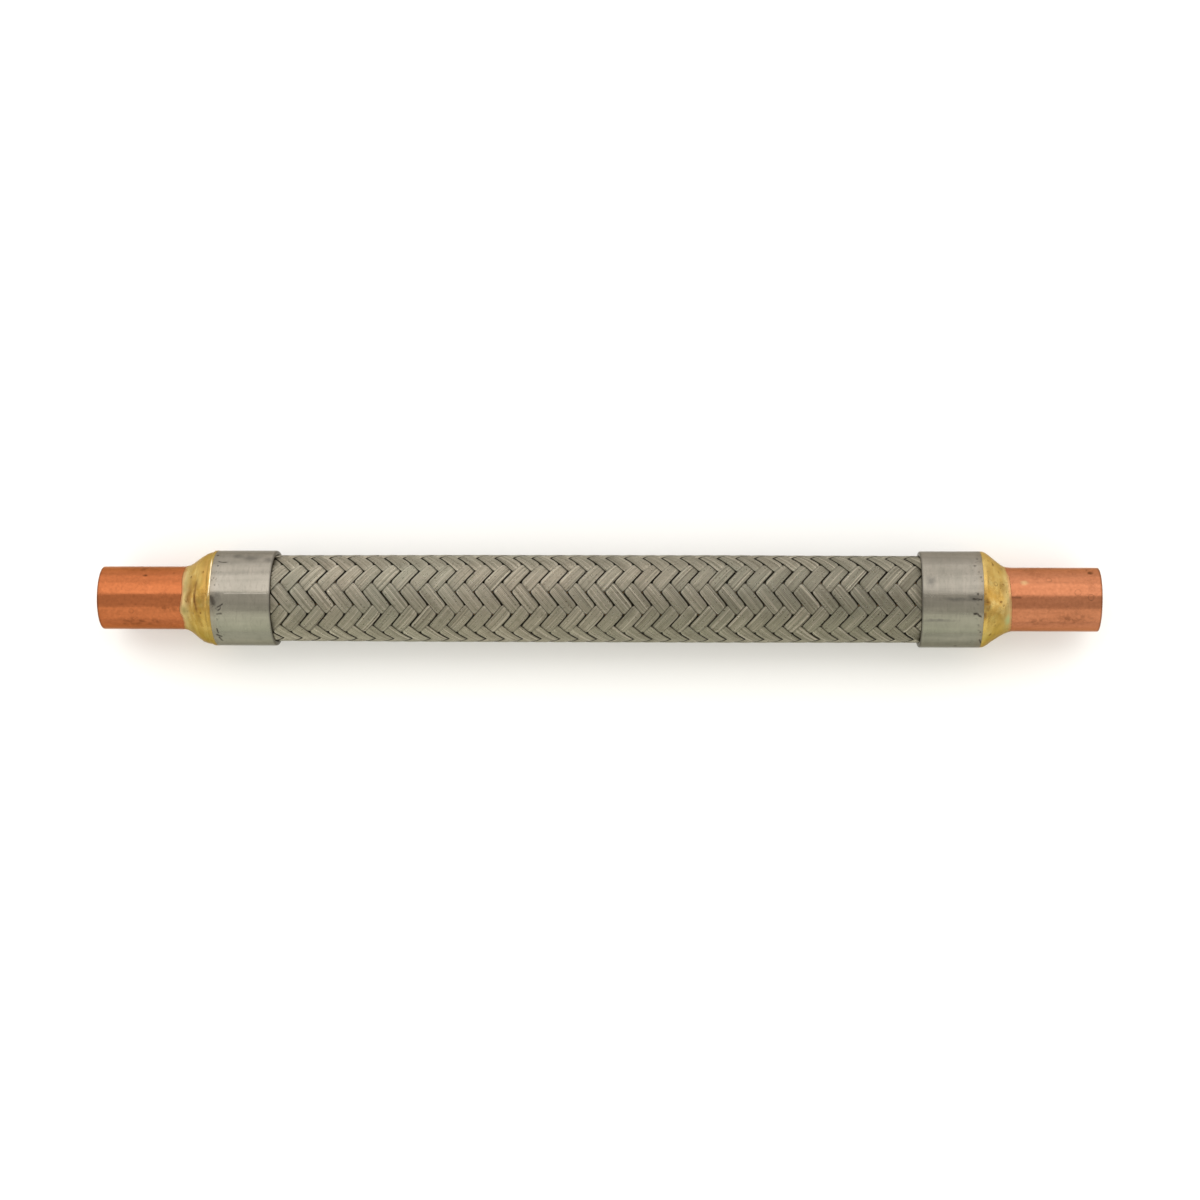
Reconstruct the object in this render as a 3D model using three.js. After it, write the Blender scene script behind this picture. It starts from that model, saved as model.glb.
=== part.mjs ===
// Vibration eliminator: a corrugated metal hose under a woven wire braid,
// with a ferrule, a braze fillet and a copper sweat end at each side.
// Millimetres, +Z up, the bore's axis on +X.
import * as THREE from "three";

// Overall
const LENGTH = 228.6; // end face to end face
const HALF = LENGTH / 2;
const SEGMENTS = 32; // facets round each turned piece
const HOSE_SEGMENTS = 16; // facets round the corrugated hose
const JOINT_GAP = 0.03; // between pieces that meet

// Copper sweat ends, measured in from each end face
const TUBE_R = 7.3; // outside
const SOCKET_R = 6.425; // inside, takes a 12.7 mm tube
const BELL_START = 19.7; // where the tube begins to widen
const BELL_END = 26.0;
const BELL_R = 8.05;
const BELL_BORE_R = 7.3;
const COPPER_LENGTH = 31.0;
const RIM_BREAK = 0.12; // broken edge at the cut end

// Ferrules
const FERRULE_START = 26.9;
const FERRULE_END = 40.7;
const FERRULE_R = 11.05;
const FERRULE_BORE_R = 9.95;
const FERRULE_LIP = 0.7; // rounding of the edge over the braid

// Braze between copper and ferrule
const BRAZE_END = 29.0; // how far it runs in under the ferrule
const BRAZE_PROFILE_LEFT = [
  [19.4, 7.46], [20.2, 7.66], [20.8, 8.0], [21.5, 8.63], [22.4, 9.48],
  [23.4, 10.18], [24.3, 10.62], [25.5, 10.93], [26.85, 11.0],
];
const BRAZE_PROFILE_RIGHT = [
  [19.4, 7.44], [20.9, 7.54], [21.7, 7.88], [23.4, 9.05], [25.3, 10.42], [26.2, 10.95], [26.85, 11.0],
];

// Corrugated hose
const HOSE_START = 29.2; // its end lips sleeve over the copper
const HOSE_LIP_END = 31.3;
const HOSE_LIP_R = 8.52;
const HOSE_CREST_R = 8.6;
const HOSE_ROOT_R = 6.45;
const HOSE_WALL = 0.25;
const HOSE_CONVOLUTIONS = 32;

// Braid: 12 strands each way, each over two and under two
const STRANDS = 12;
const BRAID_LAY = 50.8; // one full turn of a strand
const BRAID_PITCH = BRAID_LAY / STRANDS;
const BRAID_SHIFT = 0.27; // where the weave starts along the axis
const BRAID_OVER_R = 9.63; // middle of a strand that lies over
const BRAID_UNDER_R = 9.03; // middle of a strand that lies under
const STRAND_HALF_WIDTH = 0.4; // of the strand spacing
const STRAND_THICKNESS = 0.24;
const BRAID_END = 31.2; // from each end face, inside the ferrule
const BRAID_ROW_PHASE = 0.5; // the row on top, in half spacings

const material = (color, roughness, metalness) =>
  new THREE.MeshStandardMaterial({ color, roughness, metalness });

const group = new THREE.Group();
group.name = "vibration_eliminator";

// A ring turned about X. The loop is [distance in from the end face, radius]
// pairs; side is -1 for the left end and 1 for the right. One facet faces down.
function turned(name, loop, segments, side, mat) {
  let points = loop.map(([s, r]) => new THREE.Vector2(r, side * (HALF - s)));
  let area = 0;
  points.forEach((p, k) => {
    const q = points[(k + 1) % points.length];
    area += p.x * q.y - q.x * p.y;
  });
  if (area < 0) points.reverse();
  points.push(points[0].clone());
  const geometry = new THREE.LatheGeometry(points, segments, Math.PI / segments, Math.PI * 2);
  const mesh = new THREE.Mesh(geometry, mat);
  mesh.name = name;
  mesh.rotation.z = -Math.PI / 2;
  group.add(mesh);
  return mesh;
}

for (const [tag, side, profile] of [
  ["left", -1, BRAZE_PROFILE_LEFT],
  ["right", 1, BRAZE_PROFILE_RIGHT],
]) {
  turned(
    `copper_end_${tag}`,
    [
      [0, SOCKET_R + RIM_BREAK], [0, TUBE_R - RIM_BREAK], [RIM_BREAK, TUBE_R],
      [BELL_START, TUBE_R], [BELL_END, BELL_R], [COPPER_LENGTH, BELL_R],
      [COPPER_LENGTH, BELL_BORE_R], [BELL_END, BELL_BORE_R],
      [BELL_START + 0.5, SOCKET_R], [RIM_BREAK, SOCKET_R],
    ],
    SEGMENTS, side, material(0xb8693c, 0.32, 1),
  );
  turned(
    `braze_fillet_${tag}`,
    [
      ...profile,
      [FERRULE_START - JOINT_GAP, FERRULE_BORE_R - 0.04],
      [BRAZE_END, FERRULE_BORE_R - 0.04],
      [BRAZE_END, BELL_R + JOINT_GAP], [BELL_END, BELL_R + JOINT_GAP],
      [BELL_START, TUBE_R + JOINT_GAP], [profile[0][0], TUBE_R + JOINT_GAP],
    ],
    SEGMENTS, side, material(0xb59a5a, 0.5, 0.9),
  );
  turned(
    `ferrule_${tag}`,
    [
      [FERRULE_START, FERRULE_BORE_R], [FERRULE_START, FERRULE_R],
      [FERRULE_END - FERRULE_LIP, FERRULE_R],
      [FERRULE_END - FERRULE_LIP * 0.3, FERRULE_R - FERRULE_LIP * 0.3],
      [FERRULE_END, FERRULE_R - FERRULE_LIP], [FERRULE_END, FERRULE_BORE_R],
    ],
    SEGMENTS, side, material(0xa6a29a, 0.38, 1),
  );
}

// The hose, crest and root in turn, with a straight lip at each end
const hoseSpan = LENGTH - 2 * HOSE_LIP_END;
const outer = [[HOSE_START, HOSE_LIP_R], [HOSE_LIP_END, HOSE_LIP_R]];
const inner = [[HOSE_START, HOSE_LIP_R - HOSE_WALL], [HOSE_LIP_END, HOSE_LIP_R - HOSE_WALL]];
for (let k = 1; k < 2 * HOSE_CONVOLUTIONS; k += 1) {
  const s = HOSE_LIP_END + (hoseSpan * k) / (2 * HOSE_CONVOLUTIONS);
  const r = k % 2 ? HOSE_ROOT_R : HOSE_CREST_R;
  outer.push([s, r]);
  inner.push([s, r - HOSE_WALL]);
}
for (const s of [LENGTH - HOSE_LIP_END, LENGTH - HOSE_START]) {
  outer.push([s, HOSE_LIP_R]);
  inner.push([s, HOSE_LIP_R - HOSE_WALL]);
}
turned(
  "corrugated_hose", [...outer, ...inner.reverse()],
  HOSE_SEGMENTS, -1, material(0x9a7a4a, 0.45, 1),
);

// One flat strand of the braid. `turn` is 1 for a strand that turns
// right-handed about +X and -1 for one that turns the other way.
const endX = HALF - BRAID_END;
function strand(name, index, turn, mat) {
  const reach = (x) => (x - BRAID_SHIFT) / (BRAID_PITCH / 2);
  const first = reach(-endX) + STRAND_HALF_WIDTH;
  const last = reach(endX) - STRAND_HALF_WIDTH;
  const lift = (m) => {
    const phase = turn > 0 ? 2 * index + m : 2 * index - m;
    const four = ((phase % 4) + 4) % 4;
    return turn > 0 ? four <= 1 : four >= 2;
  };
  // Each run over or under two crossings is one straight piece
  const stations = [];
  for (let m = Math.floor(first) - 4; m <= last + 4; m += 1) {
    if (lift(m) !== lift(m - 1)) {
      const r = lift(m) ? BRAID_OVER_R : BRAID_UNDER_R;
      stations.push([m - 0.3, r], [m + 1.3, r]);
    }
  }
  const kept = stations.filter(([a]) => a >= first && a <= last);
  const count = kept.length - 1;
  const geometry = new THREE.BoxGeometry(
    count, 2 * STRAND_HALF_WIDTH, STRAND_THICKNESS, count, 1, 1,
  );
  const at = geometry.attributes.position;
  for (let k = 0; k < at.count; k += 1) {
    const [a, middle] = kept[Math.round(at.getX(k) + count / 2)];
    const v = -at.getY(k);
    const r = middle + at.getZ(k);
    const x = BRAID_SHIFT + ((a - turn * v) * BRAID_PITCH) / 2;
    const phi = ((2 * index + turn * a + v - BRAID_ROW_PHASE) * Math.PI) / STRANDS;
    at.setXYZ(k, x, -r * Math.sin(phi), r * Math.cos(phi));
  }
  // Split each bent face along its shorter diagonal, so that it bulges least
  const faces = geometry.index.array;
  const point = (k) => new THREE.Vector3().fromBufferAttribute(at, k);
  for (let k = 0; k < faces.length; k += 6) {
    const [a, b, d, , c] = faces.slice(k, k + 6);
    if (point(a).distanceTo(point(c)) < point(b).distanceTo(point(d))) {
      faces.set([a, b, c, a, c, d], k);
    }
  }
  geometry.computeVertexNormals();
  const mesh = new THREE.Mesh(geometry, mat);
  mesh.name = name;
  group.add(mesh);
}
for (let index = 0; index < STRANDS; index += 1) {
  const tag = String(index + 1).padStart(2, "0");
  strand(`braid_strand_r${tag}`, index, 1, material(0xa39b8a, 0.42, 1));
  strand(`braid_strand_l${tag}`, index, -1, material(0xa39b8a, 0.42, 1));
}

export default group;
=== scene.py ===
import math

import bpy
import numpy as np
from mathutils import Matrix, Vector
from mathutils.bvhtree import BVHTree


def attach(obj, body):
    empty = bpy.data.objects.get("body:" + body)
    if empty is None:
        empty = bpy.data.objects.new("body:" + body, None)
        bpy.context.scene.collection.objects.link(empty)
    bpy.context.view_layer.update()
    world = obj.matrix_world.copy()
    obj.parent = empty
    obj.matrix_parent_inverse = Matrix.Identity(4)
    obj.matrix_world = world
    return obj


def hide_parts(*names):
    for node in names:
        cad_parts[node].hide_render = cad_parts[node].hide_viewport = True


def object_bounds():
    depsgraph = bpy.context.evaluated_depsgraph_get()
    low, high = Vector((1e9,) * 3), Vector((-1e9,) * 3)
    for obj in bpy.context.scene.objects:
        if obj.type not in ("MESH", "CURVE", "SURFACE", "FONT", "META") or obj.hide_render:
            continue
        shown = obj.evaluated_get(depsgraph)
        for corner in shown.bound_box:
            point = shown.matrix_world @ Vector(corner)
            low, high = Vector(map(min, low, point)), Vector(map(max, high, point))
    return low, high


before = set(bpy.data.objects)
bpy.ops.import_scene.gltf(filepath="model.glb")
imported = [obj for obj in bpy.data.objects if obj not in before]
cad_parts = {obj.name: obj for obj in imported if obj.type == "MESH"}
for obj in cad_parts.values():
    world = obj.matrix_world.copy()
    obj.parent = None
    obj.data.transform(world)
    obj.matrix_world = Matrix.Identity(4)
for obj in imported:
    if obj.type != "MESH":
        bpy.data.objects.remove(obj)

size_at_load = [list(map(float, c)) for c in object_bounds()]

MM = 0.001
HALF = 114.3  # mm, from the middle to each end face

# ---------------------------------------------------------------- the camera's place

MM_PER_PX = 0.2299  # at the part's axis, in a picture 1200 pixels wide
YAW = math.radians(2.7)
FAR = 545.0
AIM = Vector((0.87, -0.3, 0))
CAM = AIM + Vector((math.sin(YAW), 0, math.cos(YAW))) * FAR
CAM_BACK = (CAM - AIM).normalized()
CAM_RIGHT = Vector((math.sin(math.radians(-0.12)), math.cos(math.radians(-0.12)), 0)).cross(CAM_BACK).normalized()
CAM_UP = CAM_BACK.cross(CAM_RIGHT)


def seen_at(xp, yp, r, tree=None):
    """Where on a surface, or else a cylinder of this radius (mm) about X, the camera sees this pixel of a 1200 x 1200 picture."""
    f = FAR / MM_PER_PX
    d = (CAM_RIGHT * ((xp - 600) / f) + CAM_UP * ((600 - yp) / f) - CAM_BACK).normalized()
    if tree is not None:
        hit = tree.ray_cast(CAM * MM, d)[0]
        if hit is not None:
            return hit / MM
    a = d.y**2 + d.z**2
    b = CAM.y * d.y + CAM.z * d.z
    c = CAM.y**2 + CAM.z**2 - r * r
    t = (-b - math.sqrt(max(b * b - a * c, 0))) / a
    return CAM + d * t

# ---------------------------------------------------------------- mesh code


def add_mesh(name, verts_mm, faces, smooth=True):
    me = bpy.data.meshes.new(name)
    me.from_pydata((np.asarray(verts_mm, float) * MM).tolist(), [], [tuple(map(int, f)) for f in faces])
    me.polygons.foreach_set("use_smooth", [smooth] * len(me.polygons))
    me.update()
    ob = bpy.data.objects.new(name, me)
    bpy.context.scene.collection.objects.link(ob)
    return ob


def surface_of(ob):
    me = ob.data
    return BVHTree.FromPolygons([v.co for v in me.vertices], [tuple(p.vertices) for p in me.polygons])


def part_of(ob, node, mat):
    ob.data.materials.append(mat)
    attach(ob, "root")
    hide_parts(node)


def rounded_loop(points, step=1.0, arcs=5):
    """A closed outline with each corner (x, r, corner radius) rounded and each side cut into short steps."""
    out = []
    n = len(points)
    for k in range(n):
        p0 = np.array(points[k - 1][:2])
        p1 = np.array(points[k][:2])
        p2 = np.array(points[(k + 1) % n][:2])
        rad = points[k][2]
        a, b = p0 - p1, p2 - p1
        la, lb = np.linalg.norm(a), np.linalg.norm(b)
        a, b = a / la, b / lb
        if rad <= 0:
            out.append(p1)
            continue
        half = math.acos(max(-1, min(1, float(a @ b)))) / 2
        d = min(rad / max(math.tan(half), 1e-6), 0.49 * la, 0.49 * lb)
        s, e = p1 + a * d, p1 + b * d
        for t in np.linspace(0, 1, arcs + 1):
            out.append((1 - t) ** 2 * s + 2 * t * (1 - t) * p1 + t * t * e)
    full = []
    for k, p in enumerate(out):
        q = out[(k + 1) % len(out)]
        full.append(p)
        gap = float(np.linalg.norm(q - p))
        if gap > 2.2 * step:
            ts = [0.12 * step / gap] + list(np.linspace(0, 1, int(gap / step) + 1)[1:-1]) + [1 - 0.12 * step / gap]
            full += [p + (q - p) * t for t in ts]
        elif gap > 0.6 * step:
            full += [p + (q - p) * t for t in (0.15, 0.5, 0.85)]
    return np.array(full)


def lathe(name, loop, n, warp=None):
    """A ring about X from a closed (x, r) outline in mm. warp changes x and r by place."""
    loop = np.asarray(loop, float)
    x, r = loop[:, 0], loop[:, 1]
    area = np.sum(r * np.roll(x, -1) - np.roll(r, -1) * x)
    if area < 0:
        loop = loop[::-1]
    m = len(loop)
    phi = (np.arange(n) + 0.5) * 2 * math.pi / n
    X = np.repeat(loop[:, :1], n, 1)
    R = np.repeat(loop[:, 1:], n, 1)
    F = np.repeat(phi[None], m, 0)
    if warp:
        X, R = warp(X, R, F)
    v = np.stack([X, -R * np.sin(F), R * np.cos(F)], -1).reshape(-1, 3)
    i, j = np.meshgrid(np.arange(m), np.arange(n), indexing="ij")
    i2, j2 = (i + 1) % m, (j + 1) % n
    quads = np.stack([i * n + j, i * n + j2, i2 * n + j2, i2 * n + j], -1).reshape(-1, 4)
    return add_mesh(name, v, quads)


def wander(seed, waves_x, waves_phi, count=9):
    """A smooth seeded function of (x in mm, phi), from about -1 to 1, closed round the axis."""
    g = np.random.default_rng(seed)
    fx = g.uniform(-waves_x, waves_x, count)
    fp = g.integers(1, max(2, waves_phi + 1), count) * g.choice([-1, 1], count)
    ph = g.uniform(0, 2 * math.pi, count)
    am = g.uniform(0.5, 1.0, count)
    am = am / np.sqrt(np.sum(am**2) / 2) / 1.6

    def f(x, phi):
        total = 0.0
        for k in range(count):
            total = total + am[k] * np.sin(fx[k] * x + fp[k] * phi + ph[k])
        return total

    return f


def smooth(t):
    t = np.clip(t, 0, 1)
    return t * t * (3 - 2 * t)


# ---------------------------------------------------------------- the braid's sizes, mm

S = 12
LAY = 50.8
P = LAY / S
SHIFT = 0.27
OVER_R, UNDER_R = 9.76, 9.43
WIRES, WIRE_R = 10, 0.15
FILL = 0.92  # of the space between strands that a strand takes up
SIDES = 5
BRAID_REACH = HALF - 31.4


# ---------------------------------------------------------------- node helpers


class Nodes:
    """Short names for building a material's nodes."""

    def __init__(self, name, tree=None):
        self.tree = tree
        self.mat = bpy.data.materials.new(name)
        self.mat.use_nodes = True
        self.t = self.mat.node_tree
        self.t.nodes.clear()
        self.out = self.t.nodes.new("ShaderNodeOutputMaterial")
        self.bsdf = self.t.nodes.new("ShaderNodeBsdfPrincipled")
        self.t.links.new(self.bsdf.outputs[0], self.out.inputs[0])
        self.co = self.t.nodes.new("ShaderNodeTexCoord").outputs["Object"]

    def new(self, kind, **props):
        n = self.t.nodes.new(kind)
        for k, v in props.items():
            setattr(n, k, v)
        return n

    def put(self, socket, value):
        if isinstance(value, bpy.types.NodeSocket):
            self.t.links.new(value, socket)
        elif isinstance(value, (tuple, list)) and len(value) == 3 and socket.type == "RGBA":
            socket.default_value = (*value, 1)
        else:
            socket.default_value = value

    def math(self, op, a, b=0.0, c=None, clamp=False):
        n = self.new("ShaderNodeMath", operation=op, use_clamp=clamp)
        self.put(n.inputs[0], a)
        self.put(n.inputs[1], b)
        if c is not None:
            self.put(n.inputs[2], c)
        return n.outputs[0]

    def vmath(self, op, a, b=(0, 0, 0)):
        n = self.new("ShaderNodeVectorMath", operation=op)
        self.put(n.inputs[0], a)
        self.put(n.inputs[1], b)
        return n.outputs["Value"] if op in ("LENGTH", "DISTANCE", "DOT_PRODUCT") else n.outputs[0]

    def split(self, v):
        n = self.new("ShaderNodeSeparateXYZ")
        self.put(n.inputs[0], v)
        return n.outputs

    def join(self, x, y, z):
        n = self.new("ShaderNodeCombineXYZ")
        for s, v in zip(n.inputs, (x, y, z)):
            self.put(s, v)
        return n.outputs[0]

    def noise(self, scale, at=None, stretch=(1, 1, 1), detail=3, rough=0.5, warp=0.0, offset=(0, 0, 0)):
        at = at if at is not None else self.co
        if stretch != (1, 1, 1) or offset != (0, 0, 0):
            at = self.vmath("ADD", self.vmath("MULTIPLY", at, stretch), offset)
        n = self.new("ShaderNodeTexNoise")
        self.put(n.inputs["Vector"], at)
        n.inputs["Scale"].default_value = scale
        n.inputs["Detail"].default_value = detail
        n.inputs["Roughness"].default_value = rough
        n.inputs["Distortion"].default_value = warp
        return n.outputs["Fac"] if "Fac" in n.outputs else n.outputs[0]

    def remap(self, v, lo, hi, to_lo=0.0, to_hi=1.0):
        n = self.new("ShaderNodeMapRange", clamp=True)
        self.put(n.inputs[0], v)
        for k, x in zip((1, 2, 3, 4), (lo, hi, to_lo, to_hi)):
            self.put(n.inputs[k], x)
        return n.outputs[0]

    def mix(self, fac, a, b, blend="MIX"):
        n = self.new("ShaderNodeMix", data_type="RGBA", blend_type=blend, clamp_factor=True)
        self.put(n.inputs[0], fac)
        self.put(n.inputs[6], (*a, 1) if isinstance(a, tuple) else a)
        self.put(n.inputs[7], (*b, 1) if isinstance(b, tuple) else b)
        return n.outputs[2]

    def bump(self, height, strength, distance, under=None):
        n = self.new("ShaderNodeBump")
        self.put(n.inputs["Height"], height)
        n.inputs["Strength"].default_value = strength
        n.inputs["Distance"].default_value = distance
        if under is not None:
            self.put(n.inputs["Normal"], under)
        return n.outputs[0]

    def spot(self, xp, yp, r, radius, softness, shape=(1, 1, 1), wobble=0.0):
        """1 within radius (mm) of the place seen at this pixel, falling to 0 over softness. shape stretches it along x, y, z."""
        d = self.vmath("SUBTRACT", self.co, tuple(seen_at(xp, yp, r, self.tree) * MM))
        if shape != (1, 1, 1):
            d = self.vmath("DIVIDE", d, shape)
        d = self.vmath("LENGTH", d)
        if wobble:
            n = self.noise(900, detail=2, offset=(xp * 0.01, yp * 0.01, 0.3))
            d = self.math("ADD", d, self.math("MULTIPLY", self.math("SUBTRACT", n, 0.5), wobble * MM))
        return self.remap(d, (radius + softness) * MM, radius * MM)

    def stroke(self, x0, y0, x1, y1, r, radius, softness, wobble=0.5, n=None):
        """1 along the line seen between two pixels, falling to 0 over softness (mm)."""
        a, b = seen_at(x0, y0, r, self.tree) * MM, seen_at(x1, y1, r, self.tree) * MM
        ab = b - a
        d = self.vmath("SUBTRACT", self.co, tuple(a))
        dot = self.new("ShaderNodeVectorMath", operation="DOT_PRODUCT")
        self.put(dot.inputs[0], d)
        self.put(dot.inputs[1], tuple(ab / ab.length_squared))
        k = self.remap(dot.outputs["Value"], 0.0, 1.0)
        d = self.vmath("SUBTRACT", d, self.vmath("MULTIPLY", self.join(k, k, k), tuple(ab)))
        d = self.vmath("LENGTH", d)
        if n is None:
            n = self.noise(1500, detail=2, offset=(x0 * 0.01, y0 * 0.01, 0.3))
        d = self.math("ADD", d, self.math("MULTIPLY", self.math("SUBTRACT", n, 0.5), wobble * MM))
        return self.remap(d, (radius + softness) * MM, radius * MM)

    def trace(self, points, r, radius, softness, wobble=0.5, step=5.0):
        """1 along a line through these pixels, laid on the surface in short steps."""
        steps = []
        noise = self.noise(1500, detail=2, offset=(points[0][0] * 0.01, points[0][1] * 0.01, 0.3))
        for (x0, y0), (x1, y1) in zip(points, points[1:]):
            n = max(1, math.ceil(math.hypot(x1 - x0, y1 - y0) / step))
            for k in range(n):
                at = [(x0 + (x1 - x0) * t / n, y0 + (y1 - y0) * t / n) for t in (k, k + 1)]
                steps.append(self.stroke(*at[0], *at[1], r, radius, softness, wobble, noise))
        return self.most(steps)

    def hoop(self, points, r, radius, softness, wobble, fade=1.0):
        """1 along a curve through these pixels that runs round the part on its upper half. radius, softness and fade are mm."""
        at = np.array([seen_at(x, y, r, self.tree) for x, y in points]) * MM
        square, slope, start = (float(c) for c in np.polyfit(at[:, 1], at[:, 0], 2))
        x, y, z = self.split(self.co)
        n = self.noise(1300, detail=2, offset=(points[0][0] * 0.01, points[0][1] * 0.01, 0.3))
        line = self.math("MULTIPLY_ADD", self.math("MULTIPLY_ADD", y, square, slope), y, start)
        d = self.math("ABSOLUTE", self.math("SUBTRACT", x, line))
        d = self.math("ADD", d, self.math("MULTIPLY", self.math("SUBTRACT", n, 0.5), wobble * MM))
        out = self.remap(d, (radius + softness) * MM, radius * MM)
        low, high = float(at[:, 1].min()), float(at[:, 1].max())
        out = self.math("MULTIPLY", out, self.remap(y, low - fade * MM, low))
        out = self.math("MULTIPLY", out, self.remap(y, high + fade * MM, high))
        return self.math("MULTIPLY", out, self.math("GREATER_THAN", z, 0.0))

    def ring(self, xp, yp, r, radius, width, wobble=0.4):
        """A thin wavering ring round the place seen at this pixel."""
        out = self.spot(xp, yp, r, radius, width, wobble=wobble)
        hole = self.spot(xp, yp, r, radius - width, width, wobble=wobble)
        return self.math("MULTIPLY", out, self.math("SUBTRACT", 1.0, hole))

    def most(self, masks):
        out = masks[0]
        for m in masks[1:]:
            out = self.math("MAXIMUM", out, m)
        return out

    def finish(self, color, rough, metallic=1.0, normal=None, edge=None):
        if edge is not None:
            self.bsdf.inputs["Specular Tint"].default_value = (*edge, 1)
        self.put(self.bsdf.inputs["Base Color"], color)
        self.put(self.bsdf.inputs["Roughness"], rough)
        self.put(self.bsdf.inputs["Metallic"], metallic)
        if normal is not None:
            self.put(self.bsdf.inputs["Normal"], normal)
        return self.mat


# ---------------------------------------------------------------- materials


def dim(c, k):
    return tuple(v * k for v in c)


def copper_material(name, side, tree):
    m = Nodes(name, tree)
    bright, deep = ((0.385, 0.122, 0.046), (0.325, 0.096, 0.034)) if side < 0 else ((0.40, 0.155, 0.078), (0.345, 0.124, 0.057))
    broad = m.noise(90, stretch=(0.5, 1, 1), detail=4, rough=0.6)
    streak = m.noise(500, stretch=(0.05, 1, 1), detail=3, rough=0.6)
    mottle = m.noise(1500, detail=3, rough=0.65, offset=(0.1, 0.4, 0.2))
    fine = m.noise(2600, stretch=(0.6, 1, 1), detail=2)
    col = m.mix(m.remap(broad, 0.35, 0.68), bright, deep)
    col = m.mix(m.remap(streak, 0.42, 0.75, 0, 0.4), col, dim(deep, 0.75))
    col = m.mix(m.remap(mottle, 0.36, 0.5, 0.32, 0.0), col, dim(deep, 0.7))
    col = m.mix(m.remap(mottle, 0.54, 0.7, 0.0, 0.35), col, dim(bright, 1.25))
    blotch = m.noise(230, detail=5, rough=0.62, offset=(0.3, 0.1, 0.7))
    col = m.mix(m.remap(blotch, 0.56, 0.74, 0, 0.34), col, dim(deep, 0.45))
    near = m.math("MULTIPLY", m.split(m.co)[0], float(side))
    # heat tint close to the braze
    tint = m.remap(m.math("ADD", near, m.math("MULTIPLY", broad, 0.002)), (HALF - 23.5) * MM, (HALF - 19.5) * MM, 0.5, 0.0)
    col = m.mix(tint, col, dim(deep, 0.72))
    grime = m.noise(700, detail=4, rough=0.7, offset=(0.6, 0.6, 0.1))
    if side > 0:
        rings = [m.ring(1090.4, 573, 7.3, 0.55, 0.2), m.ring(1091.2, 597.4, 7.3, 0.68, 0.13), m.ring(1078, 592.6, 7.3, 0.66, 0.11), m.ring(1048.8, 579.8, 7.3, 0.6, 0.11), m.ring(1074, 574, 7.3, 0.34, 0.11)]
        dots = [m.spot(1090.4, 573, 7.3, 0.36, 0.36, wobble=0.5), m.spot(1086.4, 570, 7.3, 0.12, 0.22), m.math("MULTIPLY", m.stroke(1012.5, 597.3, 1020, 597.6, 7.3, 0.02, 0.42, 0.3), 0.7)]
        dusty = [m.spot(1073, 619, 7.3, 0.8, 2.2, (1.9, 0.6, 1)), m.spot(1040, 622, 7.3, 0.4, 1.5, (2, 0.6, 1))]
        pale = m.spot(1024.4, 583, 7.3, 0.15, 0.75, (1.4, 0.8, 1), wobble=0.8)
        col = m.mix(m.math("MULTIPLY", pale, 0.7), col, (0.46, 0.3, 0.15))
    else:
        rings = [m.ring(131, 611, 7.3, 0.55, 0.1)]
        dots = [m.spot(145.2, 575.4, 7.3, 0.12, 0.4, (1.5, 0.8, 1), wobble=0.5), m.spot(174, 573, 7.3, 0.05, 0.2)]
        dusty = [m.spot(150, 568, 7.3, 0.8, 2.0, (3.2, 0.6, 1)), m.spot(140, 622, 7.3, 0.8, 2.0, (3.2, 0.6, 1)), m.spot(163, 609, 7.3, 0.4, 1.4, (3.2, 0.6, 1))]
    col = m.mix(m.math("MULTIPLY", m.most(dusty), m.remap(grime, 0.45, 0.6, 0.1, 0.7)), col, dim(deep, 0.4))
    marks = m.math("MAXIMUM", m.math("MULTIPLY", m.most(rings), m.remap(grime, 0.35, 0.58, 0.3, 0.8)), m.math("MULTIPLY", m.most(dots), m.remap(grime, 0.3, 0.55, 0.45, 0.95)))
    col = m.mix(marks, col, dim(deep, 0.3))
    # painted shade: the cut end's rounded edge is painted dark, standing in for the dark reflection it shows
    col = m.mix(m.remap(near, (HALF - 0.55) * MM, (HALF - 0.12) * MM, 0.0, 0.75), col, dim(deep, 0.35))
    # the bore is painted lighter than the outside, standing in for light bouncing inside the tube, and it is rougher
    r = m.vmath("LENGTH", m.join(0.0, *m.split(m.co)[1:]))
    bore_painted_light = m.remap(r, 6.75 * MM, 6.55 * MM)
    col = m.mix(bore_painted_light, col, m.mix(m.remap(blotch, 0.4, 0.65), (0.72, 0.36, 0.21), (0.5, 0.22, 0.11)))
    rough = m.math("ADD", m.remap(broad, 0.3, 0.7, 0.17, 0.23), m.remap(blotch, 0.45, 0.8, 0.0, 0.16))
    rough = m.math("ADD", rough, m.math("MULTIPLY", bore_painted_light, 0.3))
    n = m.bump(streak, 0.2, 0.00009)
    n = m.bump(fine, 0.3, 0.00002, n)
    return m.finish(col, rough, 1.0, n, (0.8, 0.62, 0.5))


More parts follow.
